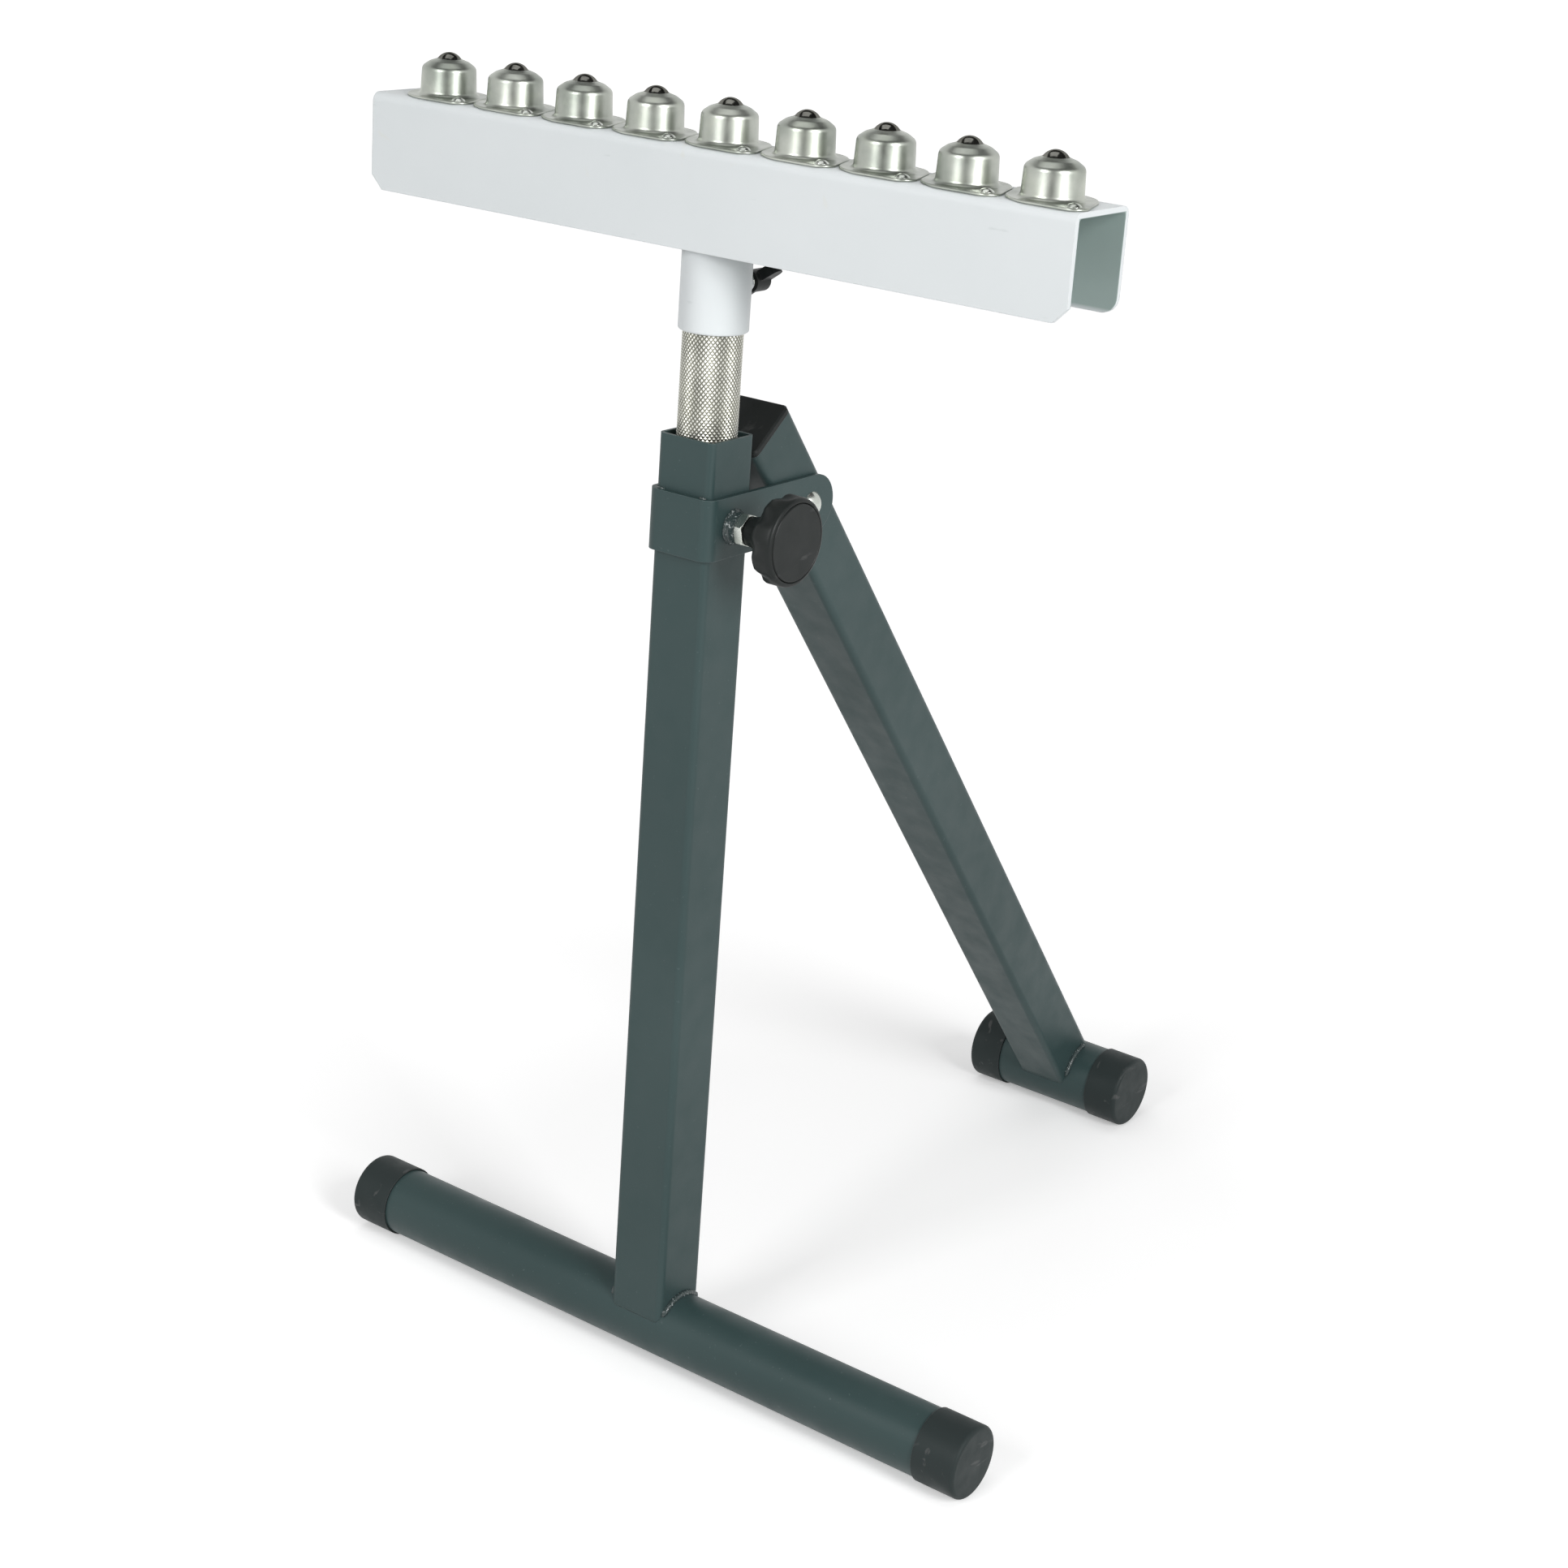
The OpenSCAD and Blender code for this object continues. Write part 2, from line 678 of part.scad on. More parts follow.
module front_wall_outline() {
    half = channel_len / 2;
    polygon([
        [-half, channel_chamfer], [channel_chamfer - half, 0],
        [half - channel_chamfer, 0], [half, channel_chamfer],
        [half, channel_h], [-half, channel_h]
    ]);
}

module back_wall_outline() {
    half = channel_len / 2;
    translate([-half, channel_back_r]) square([channel_len, channel_h - channel_back_r]);
    translate([channel_back_r - half, 0]) square([channel_len - 2 * channel_back_r, channel_h]);
    for (side = [-1, 1])
        translate([side * (half - channel_back_r), channel_back_r]) circle(channel_back_r);
}

// Fillets that close the gap between the socket and the channel's walls
module head_welds() {
    wall_y = channel_w / 2 - channel_t;
    gap = wall_y - socket_r;
    color(head_paint) in_place() difference() {
        for (side = [-1, 1])
            translate([0, side * (socket_r + gap / 2), channel_z + gap])
                x_cylinder(gap, socket_r);
        translate([0, 0, socket_z]) cylinder(h = web_z - socket_z, r = socket_r);
        for (side = [-1, 1])
            translate([-channel_len / 2, side * (wall_y + channel_t) - channel_t, channel_z - channel_h])
                cube([channel_len, 2 * channel_t, 2 * channel_h]);
    }
}

module flange_rivets() {
    color(zinc) for (i = [1:ball_count], side = [0, 180])
        in_unit(i) rotate([0, 0, side - lobe_turn]) translate([rivet_reach, 0, 0]) {
            translate([0, 0, shell_t]) domed_head(rivet_head_d, rivet_head_h);
            translate([0, 0, -channel_t]) cylinder(h = channel_t + shell_t, r = rivet_d / 2);
            translate([0, 0, -channel_t]) mirror([0, 0, 1]) domed_head(rivet_head_d, rivet_head_h);
        }
}

// One lobe of the flange: a small circle joined to the round part by its tangents
module flange_lobe() {
    tangent = acos((flange_r - lobe_r) / rivet_reach);
    translate([rivet_reach, 0]) circle(lobe_r);
    polygon([
        [0, 0],
        [flange_r * cos(tangent), -flange_r * sin(tangent)],
        [rivet_reach + lobe_r * cos(tangent), -lobe_r * sin(tangent)],
        [rivet_reach + lobe_r * cos(tangent), lobe_r * sin(tangent)],
        [flange_r * cos(tangent), flange_r * sin(tangent)]
    ]);
}

module ball_shell(i) {
    // Radii and heights of the dome's outside, from its foot to its rim
    shoulder_r_share = 0.94;
    crown_r_share = 0.74;
    rim_r = ball_r * 0.926;
    slope = rim_h - shoulder_h;
    outside = [
        [shell_r, 0], [shell_r, shoulder_h], [shell_r * shoulder_r_share, shoulder_h + slope * 0.24],
        [shell_r * crown_r_share, shoulder_h + slope * 0.62], [rim_r, rim_h]
    ];
    inside = [
        [rim_r + shell_t * 0.4, rim_h - shell_t],
        [shell_r * crown_r_share - shell_t * 0.5, shoulder_h + slope * 0.62 - shell_t * 0.86],
        [shell_r * shoulder_r_share - shell_t * 0.8, shoulder_h + slope * 0.24 - shell_t * 0.6],
        [shell_in_r, shoulder_h], [shell_in_r, 0]
    ];
    color(zinc) in_unit(i) {
        linear_extrude(shell_t) difference() {
            union() {
                circle(flange_r);
                for (side = [0, 180]) rotate(side - lobe_turn) flange_lobe();
            }
            circle(shell_in_r);
            for (side = [0, 180])
                rotate(side - lobe_turn) translate([rivet_reach, 0]) circle(rivet_d / 2 + turn_fit);
        }
        rotate_extrude() {
            polygon(concat(outside, inside));
            difference() {
                translate([shell_in_r, 0]) square([shell_t + flare_r, shell_t + flare_r]);
                translate([shell_r + flare_r, shell_t + flare_r]) circle(flare_r);
            }
        }
    }
}

// The hardened seat under the load ball, with a round raceway
module ball_cup(i) {
    color(bright_steel) in_unit(i) difference() {
        cylinder(h = cup_h, r = cup_r);
        translate([0, 0, ball_h]) sphere(raceway_r);
    }
}

module bearing_balls() {
    ring_r = ball_r + bearing_gap + bearing_d / 2;
    color(bright_steel) for (i = [1:ball_count], ring = bearing_rings, k = [0:ring[1] - 1])
        in_unit(i) rotate([0, 0, k * 360 / ring[1]])
            translate([ring_r * sin(ring[0]), 0, ball_h - ring_r * cos(ring[0])])
            sphere(bearing_d / 2, $fn = 24);
}

module load_ball(i) {
    color(bright_steel) in_unit(i) translate([0, 0, ball_h]) sphere(ball_r);
}

column_tube();
front_foot_tube();
front_cap(-1);  // front_cap_left
front_cap(1);  // front_cap_right
pivot_collar();
clamp_boss();
base_welds();
pivot_bolt();
pivot_washer();
pivot_nut();
rear_leg_tube();
rear_leg_plug();
rear_foot_tube();
rear_cap(-1);  // rear_cap_left
rear_cap(1);  // rear_cap_right
leg_welds();
clamp_stud();
clamp_lock_nut();
clamp_knob();
clamp_knob_disc();
mast_tube();
socket_tube();
socket_weld_nut();
wing_stud();
wing_grip();
head_channel();
head_welds();
flange_rivets();
bearing_balls();
for (i = [1:ball_count]) {
    ball_shell(i);
    ball_cup(i);
    load_ball(i);
}
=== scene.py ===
"""Looks of the folding ball-transfer stand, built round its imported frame. All lengths are in metres."""

import json
import math
import random

import bpy
from mathutils import Matrix, Vector


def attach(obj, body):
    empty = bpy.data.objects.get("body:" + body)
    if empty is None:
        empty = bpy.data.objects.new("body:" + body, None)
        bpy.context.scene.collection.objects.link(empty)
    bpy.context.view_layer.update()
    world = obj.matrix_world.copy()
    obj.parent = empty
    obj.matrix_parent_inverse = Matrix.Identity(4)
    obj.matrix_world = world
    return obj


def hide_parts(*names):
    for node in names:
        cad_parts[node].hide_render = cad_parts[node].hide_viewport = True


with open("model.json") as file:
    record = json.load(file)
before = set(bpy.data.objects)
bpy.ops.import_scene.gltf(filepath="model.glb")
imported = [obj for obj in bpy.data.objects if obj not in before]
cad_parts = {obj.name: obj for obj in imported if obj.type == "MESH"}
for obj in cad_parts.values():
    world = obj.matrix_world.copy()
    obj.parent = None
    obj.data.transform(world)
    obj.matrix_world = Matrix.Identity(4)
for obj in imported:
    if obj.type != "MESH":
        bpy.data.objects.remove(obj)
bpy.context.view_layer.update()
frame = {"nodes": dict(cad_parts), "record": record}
NODES = frame["nodes"]
MM = 0.001

# Places that the pieces made here share with the frame, in the frame's own terms
MIDDLE_Y = 237.925 * MM
AXIS_Y = -MIDDLE_Y
FRONT_FOOT_R = 21.2 * MM
FRONT_CAP_R = 22.4 * MM
REAR_FOOT_R = 24.15 * MM
REAR_CAP_R = 25.35 * MM
REAR_REACH = 475.5 * MM
TUBE_HALF = 19 * MM
PIVOT_Y = 72.5 * MM
PIVOT_Z = 526 * MM
STRAP_OUT = 22.3 * MM
STRAP_H = 34.5 * MM
BOSS_R = 8.5 * MM
KNOB_X = 34.3 * MM
MAST_R = 16.85 * MM
MAST_BORE_R = 13.65 * MM
MAST_BOTTOM = 105 * MM
MAST_TOP = 726 * MM
SOCKET_R = 19.33 * MM
CHANNEL_Z = 675.5 * MM
WEB_Z = 726.5 * MM
WALL_INSIDE_Y = 22 * MM
WING_Z = 654 * MM
CHANNEL_TOP = 729.5 * MM
ROW_SHIFT = 2.5 * MM
BALL_PITCH = 50 * MM
BALL_COUNT = 9
FLANGE_R = 23 * MM
RIVET_REACH = 27 * MM
LOBE_R = 7.4 * MM
LOBE_TURN = math.radians(35.4)

# Forms that only the pieces made here have
STUD_BORE_R = 5.06 * MM
BOSS_LEN = 5.8 * MM
BOSS_SIDES = 64
BOSS_ROWS = 24
LUMPY_ROWS = 14
WELD_RISE = 1.6 * MM
WELD_REACH = 2.6 * MM
NUT_ACROSS = 17 * MM
NUT_H = 5.6 * MM
NUT_OUT = 6.3 * MM
NUT_TURN = math.radians(12)
KNURL_SIDES = 84
KNURL_ROW = 1.5 * MM
KNURL_DEPTH = 0.5 * MM
RIPPLE = 2.3 * MM
BEAD_SIDES = 12
BEAD_STEP = 0.6 * MM
FOOT_BEAD_R = 2.0 * MM
TACK_R = 1.1 * MM
HEAD_BEAD_R = 1.7 * MM
FRONT_SEAM_REACH = 16.5 * MM
REAR_SEAM_REACH = 14 * MM

# The flange's edge from its underside up and over: distance inside its outline and height, in mm
FLANGE_EDGE = ((0.5, 0.02), (0.12, 0.25), (0, 0.6), (0.1, 1.1), (0.45, 1.42), (1.2, 1.36))
SHELL_SIDES = 144

# Corners of the pressed shell's dome from the flange up and back down inside: radius, height, rounding, in mm
DOME = (
    (20.4, 1.3, 0), (15.9, 1.3, 2.4), (15.25, 16.6, 3.6), (11.0, 19.6, 6.0), (7.3, 20.9, 0), (6.9, 21.15, 0),
    (6.6, 20.9, 0), (7.0, 20.1, 0), (10.9, 17.6, 0), (13.9, 14.8, 0), (14.4, 9.0, 0), (14.4, 0.05, 0))

# The knob's section from the hub's back round to the disc's recess: radius and height in mm,
# and the share of a finger hollow's depth
KNOB = (
    (5.06, 0, 0), (7.7, 0, 0), (8.2, 0.5, 0), (8.8, 4.0, 0), (10.2, 7.2, 0.1), (12.6, 10.0, 0.3),
    (15.8, 12.6, 0.7), (19.3, 14.9, 1.0), (22.3, 16.8, 1.0), (24.2, 18.4, 0.95), (25.0, 20.4, 0.7),
    (25.0, 24.0, 0.35), (25.0, 28.0, 0.1), (24.6, 29.8, 0.03), (23.7, 30.7, 0), (22.8, 31.0, 0),
    (22.25, 31.0, 0), (22.25, 29.0, 0), (5.06, 29.0, 0), (5.06, 18.0, 0))
KNOB_SIDES = 192
KNOB_LOBES = 8
# The hollows' turn as a share of one lobe, their depth in mm and their half width in degrees
KNOB_START = 0.42
HOLLOW_DEPTH = 2.4
HOLLOW_HALF = 15

# Each lamp's name, place, size and power; all of them point at LIT_POINT
LIT_POINT = (0, -0.1, 0.4)
LAMPS = (
    ("left_box", (-0.15, -2.6, 1.6), (0.75, 1.1), 27),
    ("right_box", (2.2, -0.9, 1.5), (0.8, 1.2), 44),
    ("top_box", (-0.3, -0.2, 2.8), (1.6, 1.6), 10))
# The white world's strength as light on the stand, where the eye and the reflections see it at 1
WORLD_FILL = 0.26
# Each dark card's name, place, target, size and shade
CARDS = (
    ("ceiling_card", (0, -0.2, 3.2), (0, -0.2, 0), (5, 5), 0.12),
    ("middle_card", (1.0, -2.0, 1.3), (0, -0.2, 0.74), (0.7, 2.4), 0.05))

# How much the floor glows to the camera over what the lamps give it, by distance as a share of GLOW_REACH
GLOW_REACH = 8
FLOOR_GLOW = ((0.03, 0.31), (0.05, 0.42), (0.095, 0.56), (0.2, 0.68), (0.5, 0.80), (1.0, 0.90))


def object_from(name, parts, material, body, replaced, smooth=True):
    """One object from a list of (vertices, faces) parts, riding on a body in place of the replaced nodes."""
    verts, faces = [], []
    for part_verts, part_faces in parts:
        start = len(verts)
        verts += part_verts
        faces += [tuple(start + k for k in face) for face in part_faces]
    mesh = bpy.data.meshes.new(name)
    mesh.from_pydata(verts, [], faces)
    mesh.validate()
    mesh.polygons.foreach_set("use_smooth", [smooth] * len(mesh.polygons))
    piece = bpy.data.objects.new(name, mesh)
    bpy.context.scene.collection.objects.link(piece)
    mesh.materials.append(material)
    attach(piece, body)
    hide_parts(*replaced)


def lathe_grid(radius, rows, sides, close_bore=None, knurled=False):
    """A closed body of revolution about Z: radius(row, side) gives each point, rows lists the heights.

    On a knurled body every second point lies low, and each square is cut between its two low points.
    """
    verts, faces = [], []
    for j, z in enumerate(rows):
        for i in range(sides):
            angle = 2 * math.pi * i / sides
            r = radius(j, i)
            verts.append((r * math.cos(angle), r * math.sin(angle), z))
    for j in range(len(rows) - 1):
        for i in range(sides):
            k = (i + 1) % sides
            square = (j * sides + i, j * sides + k, (j + 1) * sides + k, (j + 1) * sides + i)
            if knurled:
                a, b, c, d = square if (i + j) % 2 else square[1:] + square[:1]
                faces += [(a, b, c), (a, c, d)]
            else:
                faces.append(square)
    last = (len(rows) - 1) * sides
    if close_bore is None:
        faces.append(tuple(reversed(range(sides))))
        faces.append(tuple(last + i for i in range(sides)))
        return verts, faces
    low = len(verts)
    for z in (rows[0], rows[-1]):
        for i in range(sides):
            angle = 2 * math.pi * i / sides
            verts.append((close_bore * math.cos(angle), close_bore * math.sin(angle), z))
    for i in range(sides):
        k = (i + 1) % sides
        faces.append((i, low + i, low + k, k))
        faces.append((low + i, low + sides + i, low + sides + k, low + k))
        faces.append((low + sides + i, last + i, last + k, low + sides + k))
    return verts, faces


def ring_grid(section, sides):
    """A closed ring about Z: section(angle) gives the same count of (radius, height) points for each side."""
    verts, faces = [], []
    for i in range(sides):
        angle = 2 * math.pi * i / sides
        points = section(angle)
        verts += [(r * math.cos(angle), r * math.sin(angle), z) for r, z in points]
    count = len(verts) // sides
    for i in range(sides):
        a, b = i * count, ((i + 1) % sides) * count
        for j in range(count):
            k = (j + 1) % count
            faces.append((a + j, b + j, b + k, a + k))
    return verts, faces


def rounded(points, steps=5):
    """A polyline of (radius, height, rounding) points with an arc in place of each rounded corner."""
    out = []
    for j, (x, y, radius) in enumerate(points):
        if not radius:
            out.append((x, y))
            continue
        here = Vector((x, y))
        before = (Vector(points[j - 1][:2]) - here).normalized()
        after = (Vector(points[j + 1][:2]) - here).normalized()
        half = before.angle(after) / 2
        centre = here + (before + after).normalized() * radius / math.sin(half)
        start = here + before * radius / math.tan(half) - centre
        end = here + after * radius / math.tan(half) - centre
        for k in range(steps + 1):
            arm = start.lerp(end, k / steps).normalized() * radius
            out.append(tuple(centre + arm))
    return out


def moved(part, matrix):
    """A (vertices, faces) part with its vertices moved."""
    verts, faces = part
    return [tuple(matrix @ Vector(v)) for v in verts], faces


def bead(path, radius, rng):
    """A weld bead along a path: a tube whose radius swells once per ripple and thins at both ends."""
    verts, faces = [], []
    last = len(path) - 1
    run = 0.0
    for j, point in enumerate(path):
        along = (path[min(j + 1, last)] - path[max(j - 1, 0)]).normalized()
        if j:
            run += (point - path[j - 1]).length
        side = along.orthogonal().normalized()
        other = along.cross(side)
        phase = (run / RIPPLE) % 1.0
        swell = 0.86 + 0.2 * (1 - phase) ** 0.6 + rng.uniform(-0.03, 0.03)
        swell *= min(1.0, 0.45 + 0.2 * min(j, last - j))
        for i in range(BEAD_SIDES):
            angle = 2 * math.pi * i / BEAD_SIDES
            offset = side * math.cos(angle) + other * math.sin(angle)
            verts.append(tuple(point + offset * radius * swell))
    for j in range(last):
        a, b = j * BEAD_SIDES, (j + 1) * BEAD_SIDES
        # The next ring may start at another side, so it is turned to the nearest point
        turn = min(range(BEAD_SIDES), key=lambda t: (Vector(verts[a]) - Vector(verts[b + t])).length)
        for i in range(BEAD_SIDES):
            k = (i + 1) % BEAD_SIDES
            faces.append((a + i, a + k, b + (k + turn) % BEAD_SIDES, b + (i + turn) % BEAD_SIDES))
    faces.append(tuple(reversed(range(BEAD_SIDES))))
    faces.append(tuple(last * BEAD_SIDES + i for i in range(BEAD_SIDES)))
    return verts, faces


def side_seam(side, foot_r, reach):
    """Where a side face of a square tube meets a round foot along X, reach to each way from its middle."""
    steps = int(2 * reach / BEAD_STEP)
    ys = [reach * (2 * k / steps - 1) for k in range(steps + 1)]
    out, ridge = side * (TUBE_HALF + 0.6 * MM), foot_r + 0.5 * MM
    return [Vector((out, y, math.sqrt(ridge ** 2 - y ** 2))) for y in ys]


def threaded_rod(radius, low, high, pitch, depth):
    """A rod along Z with a helical thread."""
    sides = 40
    steps = max(2, round((high - low) / pitch * 8))
    rows = [low + (high - low) * j / steps for j in range(steps + 1)]

    def at(j, i):
        phase = (rows[j] / pitch - i / sides) % 1.0
        return radius - depth * abs(2 * phase - 1)

    return lathe_grid(at, rows, sides)


def nut_body(across, height, bore):
    """A hexagon nut along Z with chamfered corners."""
    corner = across / 2 / math.cos(math.pi / 6)
    rows = [0, 0.35 * MM, 0.9 * MM, height - 0.9 * MM, height - 0.35 * MM, height]
    chamfer = [corner - 1.2 * MM, corner - 0.5 * MM, corner, corner, corner - 0.5 * MM, corner - 1.2 * MM]
    sides = 96

    def at(j, i):
        turn = (2 * math.pi * i / sides) % (math.pi / 3) - math.pi / 6
        return min(across / 2 / math.cos(turn), chamfer[j])

    return lathe_grid(at, rows, sides, bore)


class Look:
    """A node material round one principled shader, with short calls for its parts."""

    def __init__(self, name, base, metallic, roughness):
        self.material = bpy.data.materials.new(name)
        self.material.use_nodes = True
        self.tree = self.material.node_tree
        self.tree.nodes.clear()
        out = self.add("OutputMaterial")
        self.shader = self.add("BsdfPrincipled")
        self.shader.inputs["Base Color"].default_value = (*base, 1)
        self.shader.inputs["Metallic"].default_value = metallic
        self.shader.inputs["Roughness"].default_value = roughness
        self.link(self.shader.outputs[0], out.inputs[0])
        self.place = self.add("TexCoord").outputs["Object"]

    def add(self, kind):
        """A new shader node of a kind."""
        return self.tree.nodes.new("ShaderNode" + kind)

    def link(self, source, target):
        self.tree.links.new(source, target)

    def set(self, **values):
        """Constants on the principled shader's sockets."""
        for key, value in values.items():
            self.shader.inputs[key.replace("_", " ")].default_value = value

    def noise(self, scale, detail=3, stretch=(1, 1, 1), distortion=0.0):
        """A noise over the object's own place."""
        mapping = self.add("Mapping")
        mapping.inputs["Scale"].default_value = stretch
        self.link(self.place, mapping.inputs["Vector"])
        node = self.add("TexNoise")
        node.inputs["Scale"].default_value = scale
        node.inputs["Detail"].default_value = detail
        node.inputs["Distortion"].default_value = distortion
        self.link(mapping.outputs[0], node.inputs["Vector"])
        return node.outputs[0]

    def ramp(self, factor, *stops):
        """A colour for each factor, from (position, colour) stops."""
        node = self.add("ValToRGB")
        points = node.color_ramp.elements
        while len(points) < len(stops):
            points.new(0.5)
        for point, (place, colour) in zip(points, stops):
            point.position = place
            point.color = (*colour, 1)
        self.link(factor, node.inputs[0])
        return node.outputs[0]

    def range(self, factor, low, high, to_low, to_high):
        """The factor mapped from one range to another and held at its ends."""
        node = self.add("MapRange")
        for key, value in zip(("From Min", "From Max", "To Min", "To Max"), (low, high, to_low, to_high)):
            node.inputs[key].default_value = value
        self.link(factor, node.inputs["Value"])
        return node.outputs[0]

    def calc(self, operation, first, second=None):
        """A math node whose inputs are sockets or numbers."""
        node = self.add("Math")
        node.operation = operation
        for socket, value in zip(node.inputs, (first, second)):
            if isinstance(value, float):
                socket.default_value = value
            elif value is not None:
                self.link(value, socket)
        return node.outputs[0]

    def length(self, vector):
        """The length of a vector socket."""
        node = self.add("VectorMath")
        node.operation = "LENGTH"
        self.link(vector, node.inputs[0])
        return node.outputs["Value"]

    def split_place(self):
        """The place as X, Y from the column's axis, and Z."""
        split = self.add("SeparateXYZ")
        self.link(self.place, split.inputs[0])
        return split.outputs["X"], self.calc("SUBTRACT", split.outputs["Y"], AXIS_Y), split.outputs["Z"]

    def mix(self, factor, first, second):
        """A mix of two colours, each a socket or a constant."""
        node = self.add("Mix")
        node.data_type = "RGBA"
        self.link(factor, node.inputs["Factor"])
        for socket, value in ((node.inputs[6], first), (node.inputs[7], second)):
            if isinstance(value, tuple):
                socket.default_value = (*value, 1)
            else:
                self.link(value, socket)
        return node.outputs[2]

    def edges(self, radius):
        """A share that is 1 along sharp edges, which the looks lighten as a painted highlight, and the
        rounded normal that goes with it.
        """
        rounded = self.add("Bevel")
        rounded.samples = 6
        rounded.inputs["Radius"].default_value = radius
        flat = self.add("NewGeometry")
        dot = self.add("VectorMath")
        dot.operation = "DOT_PRODUCT"
        self.link(rounded.outputs[0], dot.inputs[0])
        self.link(flat.outputs["Normal"], dot.inputs[1])
        return self.range(dot.outputs["Value"], 0.65, 0.985, 1.0, 0.0), rounded.outputs[0]

    def bump(self, height, distance, strength, normal=None):
        """A normal from a height, over another normal where one is given."""
        node = self.add("Bump")
        node.inputs["Distance"].default_value = distance
        node.inputs["Strength"].default_value = strength
        self.link(height, node.inputs["Height"])
        if normal is not None:
            self.link(normal, node.inputs["Normal"])
        return node.outputs[0]

    def colour(self, source):
        self.link(source, self.shader.inputs["Base Color"])

    def roughness(self, source):
        self.link(source, self.shader.inputs["Roughness"])

    def normal(self, source):
        self.link(source, self.shader.inputs["Normal"])


def frame_paint():
    """Dark petrol-grey enamel with a light orange peel, and brighter edges that are a painted highlight with
    a little wear.
    """
    look = Look("frame_paint", (0.05, 0.075, 0.073), 0.0, 0.42)
    look.set(Specular_IOR_Level=0.3)
    cloud = look.ramp(look.noise(7, 4), (0.35, (0.027, 0.0515, 0.0515)), (0.7, (0.035, 0.062, 0.062)))
    specks = look.range(look.noise(420, 2), 0.70, 0.76, 0.0, 0.5)
    edge_highlight, rounded = look.edges(0.7 * MM)
    # Painted highlight: the sharp edges are lightened, standing also for a little wear
    look.colour(look.mix(edge_highlight, look.mix(specks, cloud, (0.08, 0.11, 0.11)), (0.12, 0.16, 0.16)))
    look.roughness(look.range(look.noise(60, 3), 0.3, 0.7, 0.36, 0.5))
    peel = look.bump(look.noise(520, 2), 0.05 * MM, 0.5, rounded)
    look.normal(look.bump(look.noise(90, 2), 0.12 * MM, 0.35, peel))
    return look.material


def head_paint():
    """Pale grey enamel with faint stains and a fine peel, and a darker grey-green painted shade inside the
    channel.
    """
    look = Look("head_paint", (0.68, 0.72, 0.73), 0.0, 0.45)
    look.set(Specular_IOR_Level=0.35)
    cloud = look.ramp(look.noise(9, 4), (0.3, (0.655, 0.69, 0.70)), (0.7, (0.69, 0.72, 0.73)))
    stain = look.range(look.noise(34, 5, distortion=0.6), 0.66, 0.78, 0.0, 0.5)
    scuff = look.range(look.noise(160, 2, stretch=(0.25, 1, 1)), 0.72, 0.78, 0.0, 0.5)
    edge_highlight, rounded = look.edges(0.7 * MM)
    tinted = look.mix(stain, cloud, (0.66, 0.64, 0.52))
    marked = look.mix(scuff, tinted, (0.50, 0.54, 0.54))
    # Painted highlight: the sharp edges are lightened
    outside = look.mix(edge_highlight, marked, (0.82, 0.85, 0.85))
    # Painted shade: a darker grey-green shows between the channel's walls, under its web and above its lower
    # edge
    _, off, height = look.split_place()
    within = look.range(look.calc("ABSOLUTE", off), WALL_INSIDE_Y + 0.2 * MM, WALL_INSIDE_Y + 0.4 * MM, 1, 0)
    under = look.range(height, WEB_Z + 0.1 * MM, WEB_Z + 0.3 * MM, 1, 0)
    above = look.range(height, CHANNEL_Z + 0.5 * MM, CHANNEL_Z + 2.5 * MM, 0, 1)
    inside = look.calc("MULTIPLY", look.calc("MULTIPLY", within, under), above)
    inside_shade = look.ramp(look.noise(20, 4), (0.3, (0.33, 0.41, 0.39)), (0.7, (0.37, 0.46, 0.44)))
    look.colour(look.mix(inside, outside, inside_shade))
    look.roughness(look.range(look.noise(70, 3), 0.3, 0.7, 0.4, 0.52))
    peel = look.bump(look.noise(480, 2), 0.04 * MM, 0.5, rounded)
    look.normal(look.bump(look.noise(60, 2), 0.12 * MM, 0.3, peel))
    return look.material


def weld_paint():
    """The same enamel over rough beads, where it pools and glints; its pale specks are painted glints and
    bare spatter.
    """
    look = Look("weld_paint", (0.04, 0.06, 0.06), 0.0, 0.18)
    # Pale specks: painted glints, and bare spatter through the enamel
    glint_and_spatter = look.range(look.noise(700, 3), 0.60, 0.68, 0.0, 1.0)
    look.colour(look.mix(glint_and_spatter, (0.035, 0.052, 0.052), (0.42, 0.46, 0.46)))
    look.roughness(look.range(look.noise(300, 2), 0.3, 0.7, 0.1, 0.3))
    look.normal(look.bump(look.noise(420, 3), 0.5 * MM, 0.8))
    return look.material


def zinc(name, dark, light, rough_low, rough_high):
    """Bright zinc plating with clouds of faint green and yellow."""
    look = Look(name, light, 1.0, 0.3)
    cloud = look.ramp(look.noise(45, 4), (0.3, dark), (0.65, light))
    tint = look.range(look.noise(70, 3, distortion=0.4), 0.55, 0.75, 0.0, 0.3)
    edge_highlight, rounded = look.edges(0.4 * MM)
    # Painted highlight: the sharp edges are lightened to near white
    look.colour(look.mix(edge_highlight, look.mix(tint, cloud, (0.52, 0.56, 0.45)), (0.92, 0.93, 0.90)))
    look.roughness(look.range(look.noise(130, 3), 0.3, 0.7, rough_low, rough_high))
    look.normal(look.bump(look.noise(700, 2), 0.02 * MM, 0.4, rounded))
    return look.material


